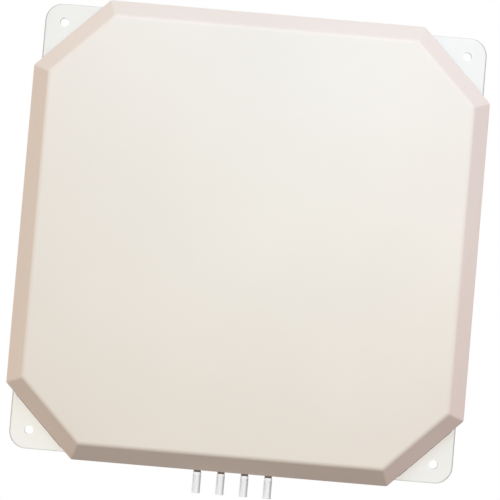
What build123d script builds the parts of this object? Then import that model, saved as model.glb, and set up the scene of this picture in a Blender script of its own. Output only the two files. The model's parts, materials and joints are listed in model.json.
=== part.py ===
from build123d import *
import os
from math import atan, cos, degrees, sqrt, tan

# Four-port patch antenna panel of a shop security gate.
#
# Everything is drawn in a bench frame, with the panel lying on its back: X to the right, Y towards
# the panel's top edge, Z out of the front face, and the origin at the centre of the back plate's
# rear face. stand_up() then turns each piece so that Z is up and the front faces -Y.
# All sizes are in millimetres.

# Cover: an octagonal moulding with a drafted skirt, a sloped border and a flat face.
# Width and height are those of the skirt's foot.
COVER_WIDTH = 340.0
COVER_HEIGHT = 342.0
COVER_DEPTH = 30.0
COVER_WALL = 3.0
COVER_CORNER_LEG = 53.0
SKIRT_DEPTH = 13.0
SKIRT_INSET = 1.0
SLOPE_INSET = 13.3
FACE_EDGE_RADIUS = 4.5
SKIRT_EDGE_RADIUS = 2.5
CORNER_EDGE_RADIUS = 3.0

# Back plate: a rectangle whose four corners stand out past the cover's cut corners.
PLATE_WIDTH = 330.0
PLATE_HEIGHT = 332.0
PLATE_THICKNESS = 3.0
PLATE_CORNER_RADIUS = 13.0
PLATE_FRONT_ROUND = 1.2
PLATE_REAR_BREAK = 0.3
MOUNT_HOLE_RADIUS = 3.3
MOUNT_SPACING_X = 301.0
MOUNT_SPACING_Y = 304.0

# Seals between the cover and the plate.
CORNER_SEAL_THICKNESS = 0.6
CORNER_SEAL_PROUD = 0.8
CORNER_SEAL_SETBACK = 0.35
CORNER_SEAT_GAP = 0.6
EDGE_SEAL_WIDTH = 1.5
EDGE_SEAL_DEPTH = 1.2
EDGE_SEAL_END_GAP = 4.0

# Screws that hold the cover: driven from the rear into moulded bosses.
BOSS_RADIUS = 4.5
BOSS_INSET = 18.0
BOSS_OFFSET = 62.0
BOSS_HOLE_DEPTH = 12.0
BOSS_RIB_THICKNESS = 2.0
SCREW_RADIUS = 1.5
SCREW_HEAD_RADIUS = 2.8
SCREW_HEAD_DEPTH = 1.6
SCREW_RECESS = 0.1
SCREW_CLEARANCE = 0.2
SCREW_FREE_FIT = 0.05
SOCKET_WIDTH = 2.0
SOCKET_DEPTH = 1.0
COVER_SCREW_LENGTH = 12.0

# Patch radiators, two by two.
PATCH_SIZE = 118.0
PATCH_PITCH = 150.0
PATCH_THICKNESS = 1.0
PATCH_CUT = 16.0
PATCH_HEIGHT = 15.0
PATCH_EDGE_RADIUS = 2.0
SUPPORT_OFFSET = 40.0
SUPPORT_RADIUS = 3.0
SUPPORT_FOOT_RADIUS = 6.0
SUPPORT_FOOT_DEPTH = 1.2
SUPPORT_NECK_RADIUS = 1.9
SUPPORT_HEAD_RADIUS = 2.6
SUPPORT_HEAD_DEPTH = 2.0
POST_RADIUS = 4.0
POST_SEAT_DEPTH = 1.2
PAN_HEAD_RADIUS = 2.8
PAN_HEAD_DEPTH = 2.0
PATCH_SCREW_LENGTH = 6.0
SCREW_TIP_GAP = 1.0

# Feed boards under the patches.
BOARD_WIDTH = 44.0
BOARD_HEIGHT = 22.0
BOARD_THICKNESS = 1.6
BOARD_DROP = 26.0
BOARD_CORNER_RADIUS = 1.5
BOARD_SCREW_X = 18.0
BOARD_SCREW_Y = 7.5
BOARD_SCREW_LENGTH = 6.8
BOARD_SPACER_RADIUS = 2.5
BOARD_SCREW_SEAT = 1.8
FEED_PIN_RADIUS = 0.8
FEED_PIN_PROUD = 0.8

# Coaxial ports along the bottom edge.
PORT_COUNT = 4
PORT_PITCH = 17.5
PORT_GROUP_X = 3.0
PORT_AXIS_DEPTH = 9.5
PORT_REACH = 16.0
PORT_THREAD_RADIUS = 3.175
PORT_NECK_RADIUS = 2.0
PORT_THREAD_PROUD = 0.2
PORT_COLLAR_RADIUS = 2.95
PORT_COLLAR_LENGTH = 2.0
PORT_TIP_BREAK = 0.4
PORT_BORE_RADIUS = 2.1
PORT_BORE_DEPTH = 12.0
PORT_TAIL_RADIUS = 2.0
PORT_TAIL_LENGTH = 9.4
HEX_WIDTH = 8.0
FLANGE_DEPTH = 2.2
NUT_DEPTH = 2.2
WASHER_DEPTH = 0.6
WASHER_RADIUS = 4.4
CONTACT_RADIUS = 0.635
CONTACT_BORE_RADIUS = 0.75
CONTACT_SOCKET_RADIUS = 0.47
CONTACT_SOCKET_DEPTH = 2.5
INSULATOR_SETBACK = 0.3

# Rubber grommets where the ports leave the skirt.
GROMMET_RADIUS = 2.9
GROMMET_COLLAR_RADIUS = 2.65
GROMMET_PROUD = 0.4
GROMMET_END_GAP = 8.0
RUBBER_FIT = 0.02

# Bracket that carries the ports.
BRACKET_LENGTH = 92.0
BRACKET_THICKNESS = 1.6
BRACKET_FACE_Y = -160.9
BRACKET_BASE_DEPTH = 16.0
BRACKET_TOP = 15.0
BRACKET_BEND = 0.8
BRACKET_SCREW_X = 38.0
BRACKET_SCREW_Y = -154.0
BRACKET_SCREW_LENGTH = 6.8
CLINCH_NUT_RADIUS = 3.0
CLINCH_NUT_DEPTH = 2.0

# Coaxial jumpers from the ports to the boards.
CABLE_RADIUS = 1.3
CABLE_BEND = 12.0
CABLE_LANE_X = 17.0
CABLE_ON_BOARD = 2.5
CABLE_STEP_Y = 14.0
CABLE_END_GAP = 0.2
FERRULE_RADIUS = 2.6
FERRULE_LENGTH = 10.0
FERRULE_OVERLAP = 5.0
CLIP_WIDTH = 6.0
CLIP_LENGTH = 7.0
CLIP_FOOT_WIDTH = 13.0
CLIP_FOOT_LENGTH = 10.0
CLIP_FOOT_DEPTH = 1.2
CLIP_JAW_DEPTH = 1.1
CLIP_MOUTH = 1.8
CLIP_Y_LANE = (-70.0, -30.0, 22.0)
CLIP_Y_SHORT = -132.0

# Centre pillar, vent and rear label.
PILLAR_RADIUS = 12.0
VENT_HOLE_RADIUS = 2.5
VENT_DISC_RADIUS = 7.0
VENT_DISC_DEPTH = 0.4
VENT_Y = -62.0
LABEL_WIDTH = 70.0
LABEL_HEIGHT = 40.0
LABEL_DEPTH = 0.2
LABEL_POCKET = 0.3
LABEL_GAP = 0.2
LABEL_CORNER_RADIUS = 3.0
LABEL_Y = 60.0

# Worked out from the sizes above.
DRAFT = atan(SKIRT_INSET / SKIRT_DEPTH)
SLOPE = atan(SLOPE_INSET / (COVER_DEPTH - SKIRT_DEPTH))
CAVITY_TOP = COVER_DEPTH - COVER_WALL
SKIRT_Y = -COVER_HEIGHT / 2
PORT_TIP_Y = SKIRT_Y - PORT_REACH
GROMMET_END_Y = SKIRT_Y - GROMMET_PROUD
NUT_FACE_Y = BRACKET_FACE_Y - WASHER_DEPTH - NUT_DEPTH
BOARD_TOP = PORT_AXIS_DEPTH - CABLE_RADIUS
BOARD_BOTTOM = BOARD_TOP - BOARD_THICKNESS
PATCH_TOP = PATCH_HEIGHT + PATCH_THICKNESS
BRACKET_REAR_Y = BRACKET_FACE_Y + BRACKET_THICKNESS
TAIL_END_Y = BRACKET_REAR_Y + FLANGE_DEPTH + PORT_TAIL_LENGTH
HOLE_RADIUS = SCREW_RADIUS + SCREW_CLEARANCE
CUT_MARGIN = 1.0
RISING_EDGE = 1.5


def stand_up(shape):
    """Turn a piece from the bench frame to the panel's own frame, front towards -Y."""
    return Rot(X=90) * shape


def disc(radius, low, high, x=0.0, y=0.0):
    """Round bar along Z between two heights."""
    return Pos(x, y, low) * extrude(Circle(radius), high - low)


def bar_along_y(radius, low, high, x=0.0):
    """Round bar between two places along a port's axis."""
    return Pos(x, high, PORT_AXIS_DEPTH) * Rot(X=90) * extrude(Circle(radius), high - low)


def hexagon_along_y(low, high):
    """Hexagonal bar along Y with flats top and bottom."""
    profile = RegularPolygon(HEX_WIDTH / 2, 6, major_radius=False)
    return Pos(0, high, PORT_AXIS_DEPTH) * Rot(X=90) * extrude(profile, high - low)


def block(width, height, low, high, x=0.0, y=0.0):
    """Rectangular block between two heights."""
    return Pos(x, y, low) * extrude(Rectangle(width, height), high - low)


def four_ways(x, y):
    """The four mirror images of a place about the panel's centre."""
    return [(sx * x, sy * y) for sx in (-1, 1) for sy in (-1, 1)]


def corner_holes():
    """Centres of the four mounting holes."""
    return four_ways(MOUNT_SPACING_X / 2, MOUNT_SPACING_Y / 2)


def cover_bosses():
    """Centres of the eight bosses, two along each straight side."""
    side = COVER_WIDTH / 2 - BOSS_INSET
    end = COVER_HEIGHT / 2 - BOSS_INSET
    return four_ways(side, BOSS_OFFSET) + four_ways(BOSS_OFFSET, end)


def patch_centres():
    """Centres of the patches, in port order from left to right."""
    half = PATCH_PITCH / 2
    return [(-half, -half), (-half, half), (half, half), (half, -half)]


def board_centres():
    """Centres of the feed boards, below each patch's centre."""
    return [(x, y - BOARD_DROP) for x, y in patch_centres()]


def board_screws():
    """Two screws on opposite corners of each board, clear of the jumper."""
    places = []
    for x, y in board_centres():
        inward = -1 if x > 0 else 1
        places.append((x + inward * BOARD_SCREW_X, y - BOARD_SCREW_Y))
        places.append((x - inward * BOARD_SCREW_X, y + BOARD_SCREW_Y))
    return places


def support_places():
    """Four nylon supports under each patch."""
    places = []
    for x, y in patch_centres():
        places += [(x + dx, y + dy) for dx, dy in four_ways(SUPPORT_OFFSET, SUPPORT_OFFSET)]
    return places


def bracket_screws():
    """Three screws through the bracket's base."""
    offsets = (-BRACKET_SCREW_X, 0.0, BRACKET_SCREW_X)
    return [(PORT_GROUP_X + offset, BRACKET_SCREW_Y) for offset in offsets]


def port_places():
    """X of each port, from left to right."""
    first = PORT_GROUP_X - PORT_PITCH * (PORT_COUNT - 1) / 2
    return [first + PORT_PITCH * index for index in range(PORT_COUNT)]


def cover_outline(inset):
    """The cover's octagon, moved inwards by inset on all eight sides."""
    half_x = COVER_WIDTH / 2 - inset
    half_y = COVER_HEIGHT / 2 - inset
    leg = COVER_CORNER_LEG - inset * (2 - sqrt(2))
    outline = Polyline(
        (half_x, half_y - leg),
        (half_x - leg, half_y),
        (leg - half_x, half_y),
        (-half_x, half_y - leg),
        (-half_x, leg - half_y),
        (leg - half_x, -half_y),
        (half_x - leg, -half_y),
        (half_x, leg - half_y),
        close=True,
    )
    return make_face(outline)


def cover_block(wall, top):
    """Solid of the drafted skirt and the sloped border, offset inwards by a wall's thickness."""
    foot = wall / cos(DRAFT)
    drop = wall * (1 / cos(SLOPE) - 1 / cos(DRAFT)) / (tan(SLOPE) - tan(DRAFT))
    knee = SKIRT_DEPTH - drop
    knee_inset = foot + knee * tan(DRAFT)
    skirt = extrude(cover_outline(foot), knee, taper=degrees(DRAFT))
    border = extrude(Pos(Z=knee) * cover_outline(knee_inset), top - knee, taper=degrees(SLOPE))
    return skirt + border


def edges_between(shape, low, high):
    """Edges that lie wholly between two heights."""
    boxes = [(edge, edge.bounding_box()) for edge in shape.edges()]
    return [edge for edge, box in boxes if box.min.Z > low and box.max.Z < high]


def rising_edges(shape):
    """Edges that climb the cover's corners, from the rim to the face."""
    return [edge for edge in shape.edges() if edge.bounding_box().size.Z > RISING_EDGE]


def rounded_cover_block():
    """The cover's outer shape with its moulded radii."""
    shape = cover_block(0.0, COVER_DEPTH)
    knee = edges_between(shape, SKIRT_DEPTH - CUT_MARGIN, SKIRT_DEPTH + CUT_MARGIN)
    shape = fillet(knee, SKIRT_EDGE_RADIUS)
    face = edges_between(shape, COVER_DEPTH - CUT_MARGIN, COVER_DEPTH + CUT_MARGIN)
    shape = fillet(face, FACE_EDGE_RADIUS)
    return fillet(rising_edges(shape), CORNER_EDGE_RADIUS)


def cover_boss(x, y):
    """Screw boss with a rib to the nearest wall."""
    post = disc(BOSS_RADIUS, PLATE_THICKNESS, COVER_DEPTH, x, y)
    reach = BOSS_INSET - COVER_WALL / 2
    low = PLATE_THICKNESS + COVER_WALL
    if abs(x) > abs(y):
        outward = 1 if x > 0 else -1
        rib = block(reach, BOSS_RIB_THICKNESS, low, COVER_DEPTH, x + outward * reach / 2, y)
    else:
        outward = 1 if y > 0 else -1
        rib = block(BOSS_RIB_THICKNESS, reach, low, COVER_DEPTH, x, y + outward * reach / 2)
    return post + rib


def port_notch(x, radius):
    """Slot through the skirt, open at the rear edge, with a round end on the port's axis."""
    low = SKIRT_Y - CUT_MARGIN
    high = BRACKET_FACE_Y
    leg = block(2 * radius, high - low, 0.0, PORT_AXIS_DEPTH, x, (low + high) / 2)
    return bar_along_y(radius, low, high, x) + leg


def corner_seats():
    """What the cut corners lose at their foot, to stand on the seals on the plate."""
    width = PLATE_WIDTH + 2 * CORNER_SEAT_GAP
    height = PLATE_HEIGHT + 2 * CORNER_SEAT_GAP
    seats = block(width, height, 0.0, PLATE_THICKNESS + CORNER_SEAL_THICKNESS)
    return seats - cover_block(COVER_WALL, CAVITY_TOP)


def make_cover():
    """Moulded front cover, open at the rear."""
    outer = rounded_cover_block()
    shell = outer - cover_block(COVER_WALL, CAVITY_TOP)
    bosses = Part() + [cover_boss(x, y) for x, y in cover_bosses()]
    shell += bosses & outer
    shell -= corner_seats()
    for x, y in cover_bosses():
        shell -= disc(SCREW_RADIUS, PLATE_THICKNESS, PLATE_THICKNESS + BOSS_HOLE_DEPTH, x, y)
    for x in port_places():
        shell -= port_notch(x, GROMMET_RADIUS)
    return shell


def countersink(x, y):
    """Flush screw's hole through the plate, wider at the rear."""
    hole = disc(HOLE_RADIUS, -CUT_MARGIN, PLATE_THICKNESS + CUT_MARGIN, x, y)
    mouth = SCREW_HEAD_RADIUS + SCREW_CLEARANCE
    depth = SCREW_RECESS + SCREW_HEAD_DEPTH
    cone = Pos(x, y, depth / 2) * Cone(mouth, HOLE_RADIUS, depth)
    return hole + cone


def make_back_plate():
    """Sheet-metal back plate with the mounting holes and the seats of everything on it."""
    plate = extrude(RectangleRounded(PLATE_WIDTH, PLATE_HEIGHT, PLATE_CORNER_RADIUS), PLATE_THICKNESS)
    plate = fillet(plate.edges().group_by(Axis.Z)[-1], PLATE_FRONT_ROUND)
    plate = chamfer(plate.edges().group_by(Axis.Z)[0], PLATE_REAR_BREAK)
    through = PLATE_THICKNESS + CUT_MARGIN
    cuts = [disc(MOUNT_HOLE_RADIUS, -CUT_MARGIN, through, x, y) for x, y in corner_holes()]
    cuts += [countersink(x, y) for x, y in cover_bosses() + bracket_screws()]
    cuts.append(disc(VENT_HOLE_RADIUS, -CUT_MARGIN, through, 0.0, VENT_Y))
    post_seat = PLATE_THICKNESS - POST_SEAT_DEPTH
    cuts += [disc(POST_RADIUS, post_seat, through, x, y) for x, y in patch_centres()]
    screw_seat = PLATE_THICKNESS - BOARD_SCREW_SEAT
    cuts += [disc(SCREW_RADIUS, screw_seat, through, x, y) for x, y in board_screws()]
    pocket = RectangleRounded(LABEL_WIDTH, LABEL_HEIGHT, LABEL_CORNER_RADIUS)
    cuts.append(Pos(0, LABEL_Y, -CUT_MARGIN) * extrude(pocket, CUT_MARGIN + LABEL_POCKET))
    return plate - cuts


def make_corner_seals():
    """Foam strips under the cover's cut corners, squeezed out a little past its foot."""
    foot = PLATE_THICKNESS * tan(DRAFT)
    outer = cover_outline(foot - CORNER_SEAL_PROUD)
    inner = cover_outline(foot + COVER_WALL - CORNER_SEAL_SETBACK)
    ring = Pos(Z=PLATE_THICKNESS) * extrude(outer - inner, CORNER_SEAL_THICKNESS)
    border = 2 * PLATE_FRONT_ROUND
    on_plate = block(PLATE_WIDTH - border, PLATE_HEIGHT - border, 0.0, COVER_DEPTH)
    return ring & on_plate


def make_edge_seals():
    """Foam strips between the plate's straight edges and the skirt, with a gap at the ports."""
    low = PLATE_REAR_BREAK
    high = low + EDGE_SEAL_DEPTH
    run = 2 * (COVER_CORNER_LEG + EDGE_SEAL_END_GAP)
    width = EDGE_SEAL_WIDTH
    x = (PLATE_WIDTH + width) / 2
    y = (PLATE_HEIGHT + width) / 2
    strips = [block(width, COVER_HEIGHT - run, low, high, side * x) for side in (-1, 1)]
    strips.append(block(COVER_WIDTH - run, width, low, high, 0.0, y))
    ends = ((run - COVER_WIDTH) / 2, port_places()[0] - GROMMET_END_GAP)
    strips.append(block(ends[1] - ends[0], width, low, high, sum(ends) / 2, -y))
    ends = (port_places()[-1] + GROMMET_END_GAP, (COVER_WIDTH - run) / 2)
    strips.append(block(ends[1] - ends[0], width, low, high, sum(ends) / 2, -y))
    return Compound(children=strips)


def flush_screw(length):
    """Countersunk socket screw with its head towards -Z and its face at z = 0."""
    head = Pos(Z=SCREW_HEAD_DEPTH / 2) * Cone(SCREW_HEAD_RADIUS, SCREW_RADIUS, SCREW_HEAD_DEPTH)
    shank = disc(SCREW_RADIUS - SCREW_FREE_FIT, 0.0, length)
    shank = chamfer(shank.edges().group_by(Axis.Z)[-1], SCREW_RADIUS / 4)
    socket = extrude(RegularPolygon(SOCKET_WIDTH / 2, 6, major_radius=False), SOCKET_DEPTH)
    return head + shank - socket


def pan_screw(length):
    """Pan-head socket screw with its head above z = 0 and its shank below."""
    head = disc(PAN_HEAD_RADIUS, 0.0, PAN_HEAD_DEPTH)
    head = fillet(head.edges().group_by(Axis.Z)[-1], PAN_HEAD_DEPTH / 3)
    shank = disc(SCREW_RADIUS - SCREW_FREE_FIT, -length, 0.0)
    socket = extrude(RegularPolygon(SOCKET_WIDTH / 2, 6, major_radius=False), SOCKET_DEPTH)
    return head + shank - Pos(Z=PAN_HEAD_DEPTH - SOCKET_DEPTH) * socket


def repeated(shape, places, z=0.0):
    """Separate copies of one piece at several places."""
    return Compound(children=[Pos(x, y, z) * shape for x, y in places])


def make_pillar():
    """Foam pillar that keeps the cover's face from being pushed in."""
    return disc(PILLAR_RADIUS, PLATE_THICKNESS, CAVITY_TOP)


def make_patch(x, y):
    """Square radiator with two opposite corners cut off for circular polarisation."""
    half = PATCH_SIZE / 2
    cut = half - PATCH_CUT
    outline = Polyline(
        (half, -half),
        (half, cut),
        (cut, half),
        (-half, half),
        (-half, -cut),
        (-cut, -half),
        close=True,
    )
    sheet = extrude(make_face(outline), PATCH_THICKNESS)
    corners = [edge for edge in sheet.edges() if abs(edge.tangent_at(0).Z) > 0.9]
    sheet = fillet(corners, PATCH_EDGE_RADIUS)
    top = PATCH_THICKNESS + CUT_MARGIN
    sheet -= disc(HOLE_RADIUS, -CUT_MARGIN, top)
    sheet -= disc(FEED_PIN_RADIUS + SCREW_FREE_FIT, -CUT_MARGIN, top, 0.0, -BOARD_DROP)
    for dx, dy in four_ways(SUPPORT_OFFSET, SUPPORT_OFFSET):
        sheet -= disc(SUPPORT_NECK_RADIUS + SCREW_FREE_FIT, -CUT_MARGIN, top, dx, dy)
    return Pos(x, y, PATCH_HEIGHT) * sheet


def make_patch_support():
    """Nylon support: an adhesive foot, a column and a snap head through the patch."""
    foot_top = PLATE_THICKNESS + SUPPORT_FOOT_DEPTH
    foot = disc(SUPPORT_FOOT_RADIUS, PLATE_THICKNESS, foot_top)
    column = disc(SUPPORT_RADIUS, foot_top, PATCH_HEIGHT)
    neck = disc(SUPPORT_NECK_RADIUS, PATCH_HEIGHT, PATCH_TOP)
    middle = PATCH_TOP + SUPPORT_HEAD_DEPTH / 2
    head = Pos(Z=middle) * Cone(SUPPORT_HEAD_RADIUS, SUPPORT_NECK_RADIUS / 2, SUPPORT_HEAD_DEPTH)
    return foot + column + neck + head


def make_centre_post():
    """Metal post that grounds a patch's centre, pressed into a blind seat in the plate."""
    post = disc(POST_RADIUS - SCREW_FREE_FIT, PLATE_THICKNESS - POST_SEAT_DEPTH, PATCH_HEIGHT)
    depth = PATCH_SCREW_LENGTH - PATCH_THICKNESS + SCREW_TIP_GAP
    return post - disc(SCREW_RADIUS, PATCH_HEIGHT - depth, PATCH_HEIGHT)


def make_feed_board(x, y):
    """Small feed board with two screw holes and the feed pin's hole."""
    outline = RectangleRounded(BOARD_WIDTH, BOARD_HEIGHT, BOARD_CORNER_RADIUS)
    board = Pos(x, y, BOARD_BOTTOM) * extrude(outline, BOARD_THICKNESS)
    top = BOARD_TOP + CUT_MARGIN
    bottom = BOARD_BOTTOM - CUT_MARGIN
    board -= disc(FEED_PIN_RADIUS + SCREW_FREE_FIT, bottom, top, x, y)
    for sx, sy in board_screws():
        board -= disc(HOLE_RADIUS, bottom, top, sx, sy)
    return board


def make_board_spacer():
    """Tubular spacer between the plate and a feed board."""
    tube = disc(BOARD_SPACER_RADIUS, PLATE_THICKNESS, BOARD_BOTTOM)
    return tube - disc(HOLE_RADIUS, 0.0, COVER_DEPTH)


def make_feed_pin():
    """Pin soldered into a feed board and into the patch above it."""
    return disc(FEED_PIN_RADIUS, BOARD_BOTTOM - FEED_PIN_PROUD, PATCH_TOP + FEED_PIN_PROUD)


def make_port(x):
    """Body of one coaxial jack: hexagon flange, threads, neck, collar and cable tail."""
    neck_end = NUT_FACE_Y - PORT_THREAD_PROUD
    collar_end = GROMMET_END_Y - PORT_COLLAR_LENGTH
    flange_rear = BRACKET_REAR_Y + FLANGE_DEPTH
    body = hexagon_along_y(BRACKET_REAR_Y, flange_rear)
    body += bar_along_y(PORT_THREAD_RADIUS, neck_end, BRACKET_REAR_Y)
    body += bar_along_y(PORT_NECK_RADIUS, GROMMET_END_Y, neck_end)
    body += bar_along_y(PORT_COLLAR_RADIUS, collar_end, GROMMET_END_Y)
    barrel = bar_along_y(PORT_THREAD_RADIUS, PORT_TIP_Y, collar_end)
    body += chamfer(barrel.edges().group_by(Axis.Y)[0], PORT_TIP_BREAK)
    body += bar_along_y(PORT_TAIL_RADIUS, flange_rear, TAIL_END_Y)
    body -= bar_along_y(PORT_BORE_RADIUS, PORT_TIP_Y, PORT_TIP_Y + PORT_BORE_DEPTH)
    body -= bar_along_y(CONTACT_BORE_RADIUS, PORT_TIP_Y, TAIL_END_Y)
    return Pos(X=x) * body


def make_insulator():
    """White insulator around the contact, set back from the jack's mouth."""
    low = PORT_TIP_Y + INSULATOR_SETBACK
    high = PORT_TIP_Y + PORT_BORE_DEPTH
    sleeve = bar_along_y(PORT_BORE_RADIUS - RUBBER_FIT, low, high)
    return sleeve - bar_along_y(CONTACT_RADIUS + RUBBER_FIT, low, high)


def make_contact():
    """Centre contact with a socket at the jack's mouth."""
    low = PORT_TIP_Y + INSULATOR_SETBACK
    pin = bar_along_y(CONTACT_RADIUS, low, TAIL_END_Y - CUT_MARGIN)
    return pin - bar_along_y(CONTACT_SOCKET_RADIUS, low, low + CONTACT_SOCKET_DEPTH)


def make_washer():
    """Lock washer between the bracket and the nut."""
    ring = bar_along_y(WASHER_RADIUS, BRACKET_FACE_Y - WASHER_DEPTH, BRACKET_FACE_Y)
    return ring - bar_along_y(PORT_THREAD_RADIUS + RUBBER_FIT, SKIRT_Y, 0.0)


def make_nut():
    """Hexagon nut that clamps a jack to the bracket."""
    nut = hexagon_along_y(NUT_FACE_Y, NUT_FACE_Y + NUT_DEPTH)
    return nut - bar_along_y(PORT_THREAD_RADIUS + RUBBER_FIT, SKIRT_Y, 0.0)


def make_grommet():
    """Rubber plug that fills a skirt notch around a jack's neck, with a collar outside."""
    wall = cover_block(0.0, COVER_DEPTH) - cover_block(COVER_WALL, CAVITY_TOP)
    plug = wall & port_notch(0.0, GROMMET_RADIUS - RUBBER_FIT)
    collar = bar_along_y(GROMMET_COLLAR_RADIUS, GROMMET_END_Y, SKIRT_Y + COVER_WALL)
    plug += collar - cover_block(COVER_WALL / 2, CAVITY_TOP)
    return plug - bar_along_y(PORT_NECK_RADIUS + RUBBER_FIT, PORT_TIP_Y, 0.0)


def make_ferrule():
    """Crimp ferrule over a jack's tail and the end of its cable."""
    low = TAIL_END_Y - FERRULE_OVERLAP
    sleeve = bar_along_y(FERRULE_RADIUS, low, low + FERRULE_LENGTH)
    sleeve -= bar_along_y(PORT_TAIL_RADIUS + RUBBER_FIT, low, TAIL_END_Y)
    return sleeve - bar_along_y(CABLE_RADIUS + RUBBER_FIT, low, low + FERRULE_LENGTH)


def make_bracket():
    """Bent bracket: a base on the plate and a wall that carries the jacks."""
    base_end = BRACKET_REAR_Y + BRACKET_BASE_DEPTH
    base_top = PLATE_THICKNESS + BRACKET_THICKNESS
    profile = Polyline(
        (BRACKET_FACE_Y, PLATE_THICKNESS),
        (base_end, PLATE_THICKNESS),
        (base_end, base_top),
        (BRACKET_REAR_Y, base_top),
        (BRACKET_REAR_Y, BRACKET_TOP),
        (BRACKET_FACE_Y, BRACKET_TOP),
        close=True,
    )
    section = Plane.YZ * make_face(profile)
    bracket = Pos(X=PORT_GROUP_X - BRACKET_LENGTH / 2) * extrude(section, BRACKET_LENGTH)
    along = bracket.edges().filter_by(Axis.X)
    outer_bend = along.sort_by_distance((0, BRACKET_FACE_Y, PLATE_THICKNESS))[0]
    bracket = fillet(outer_bend, BRACKET_BEND + BRACKET_THICKNESS)
    along = bracket.edges().filter_by(Axis.X)
    inner_bend = along.sort_by_distance((0, BRACKET_REAR_Y, base_top))[0]
    bracket = fillet(inner_bend, BRACKET_BEND)
    for x in port_places():
        bracket -= bar_along_y(PORT_THREAD_RADIUS + SCREW_FREE_FIT, SKIRT_Y, TAIL_END_Y, x)
    for x, y in bracket_screws():
        bracket -= disc(HOLE_RADIUS, 0.0, COVER_DEPTH, x, y)
    return bracket


def make_clinch_nut():
    """Round nut clinched on the bracket's base."""
    low = PLATE_THICKNESS + BRACKET_THICKNESS
    nut = disc(CLINCH_NUT_RADIUS, low, low + CLINCH_NUT_DEPTH)
    return nut - disc(SCREW_RADIUS, 0.0, COVER_DEPTH)


def cable_route(index):
    """Corner points of one jumper: a short way to a lower board, a lane to an upper one."""
    port_x = port_places()[index]
    board_x, board_y = board_centres()[index]
    side = -1 if board_x < 0 else 1
    end_x = board_x - side * (BOARD_WIDTH / 2 - CABLE_ON_BOARD)
    start = (port_x, TAIL_END_Y + CABLE_END_GAP)
    if board_y < 0:
        return [start, (port_x, board_y), (end_x, board_y)]
    lane_x = side * CABLE_LANE_X
    step_low = TAIL_END_Y + CABLE_STEP_Y
    step_high = step_low + 2 * CABLE_STEP_Y
    return [start, (port_x, step_low), (lane_x, step_high), (lane_x, board_y), (end_x, board_y)]


def make_cable(index):
    """Coaxial jumper swept along its route, level with the port's axis."""
    flat = FilletPolyline(*cable_route(index), radius=CABLE_BEND)
    path = Pos(Z=PORT_AXIS_DEPTH) * flat
    start = Plane(origin=path @ 0, z_dir=path % 0)
    return sweep(start * Circle(CABLE_RADIUS), path=path)


def clip_places():
    """Clips along both lanes and beside the two short jumpers."""
    places = [(side * CABLE_LANE_X, y) for side in (-1, 1) for y in CLIP_Y_LANE]
    return places + [(x, CLIP_Y_SHORT) for x in (port_places()[0], port_places()[-1])]


def make_clip():
    """Adhesive saddle that holds a cable above the plate."""
    foot = block(CLIP_FOOT_WIDTH, CLIP_FOOT_LENGTH, PLATE_THICKNESS, PLATE_THICKNESS + CLIP_FOOT_DEPTH)
    jaw_top = PORT_AXIS_DEPTH + CLIP_JAW_DEPTH
    body = block(CLIP_WIDTH, CLIP_LENGTH, PLATE_THICKNESS, jaw_top)
    channel = bar_along_y(CABLE_RADIUS + SCREW_FREE_FIT, -CLIP_LENGTH, CLIP_LENGTH)
    mouth = block(CLIP_MOUTH, 2 * CLIP_LENGTH, PORT_AXIS_DEPTH, COVER_DEPTH)
    return foot + body - channel - mouth


def make_vent_disc():
    """Breathable membrane stuck over the vent hole, inside the panel."""
    return disc(VENT_DISC_RADIUS, PLATE_THICKNESS, PLATE_THICKNESS + VENT_DISC_DEPTH, 0.0, VENT_Y)


def make_label():
    """Blank rating label in a shallow pocket on the rear face."""
    gap = 2 * LABEL_GAP
    outline = RectangleRounded(LABEL_WIDTH - gap, LABEL_HEIGHT - gap, LABEL_CORNER_RADIUS - LABEL_GAP)
    return Pos(0, LABEL_Y, LABEL_POCKET - LABEL_DEPTH) * extrude(outline, LABEL_DEPTH)


def at_ports(shape):
    """Separate copies of one piece on every port's axis."""
    return Compound(children=[Pos(X=x) * shape for x in port_places()])


def build_nodes():
    """Every named piece or group of identical pieces, in the bench frame."""
    nodes = {
        "cover": make_cover(),
        "back_plate": make_back_plate(),
        "corner_seals": make_corner_seals(),
        "edge_seals": make_edge_seals(),
        "cover_screws": repeated(flush_screw(COVER_SCREW_LENGTH), cover_bosses(), SCREW_RECESS),
        "support_pillar": make_pillar(),
        "vent_membrane": make_vent_disc(),
        "rear_label": make_label(),
        "port_bracket": make_bracket(),
        "bracket_nuts": repeated(make_clinch_nut(), bracket_screws()),
        "bracket_screws": repeated(flush_screw(BRACKET_SCREW_LENGTH), bracket_screws(), SCREW_RECESS),
        "port_insulators": at_ports(make_insulator()),
        "port_contacts": at_ports(make_contact()),
        "port_lock_washers": at_ports(make_washer()),
        "port_nuts": at_ports(make_nut()),
        "port_grommets": at_ports(make_grommet()),
        "crimp_ferrules": at_ports(make_ferrule()),
        "cable_clips": repeated(make_clip(), clip_places()),
        "patch_supports": repeated(make_patch_support(), support_places()),
        "patch_posts": repeated(make_centre_post(), patch_centres()),
        "patch_screws": repeated(pan_screw(PATCH_SCREW_LENGTH), patch_centres(), PATCH_TOP),
        "board_spacers": repeated(make_board_spacer(), board_screws()),
        "board_screws": repeated(pan_screw(BOARD_SCREW_LENGTH), board_screws(), BOARD_TOP),
        "feed_pins": repeated(make_feed_pin(), board_centres()),
    }
    for index, x in enumerate(port_places()):
        number = index + 1
        nodes[f"port_jack_{number}"] = make_port(x)
        nodes[f"jumper_cable_{number}"] = make_cable(index)
        nodes[f"patch_{number}"] = make_patch(*patch_centres()[index])
        nodes[f"feed_board_{number}"] = make_feed_board(*board_centres()[index])
    return nodes


os.makedirs("parts", exist_ok=True)
for name, shape in build_nodes().items():
    export_step(stand_up(shape), f"parts/{name}.step")
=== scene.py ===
import json
from itertools import product
from math import cos, floor, pi, radians, sin, sqrt, tan, tau

import bmesh
import bpy
from mathutils import Matrix, Vector, noise


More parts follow.
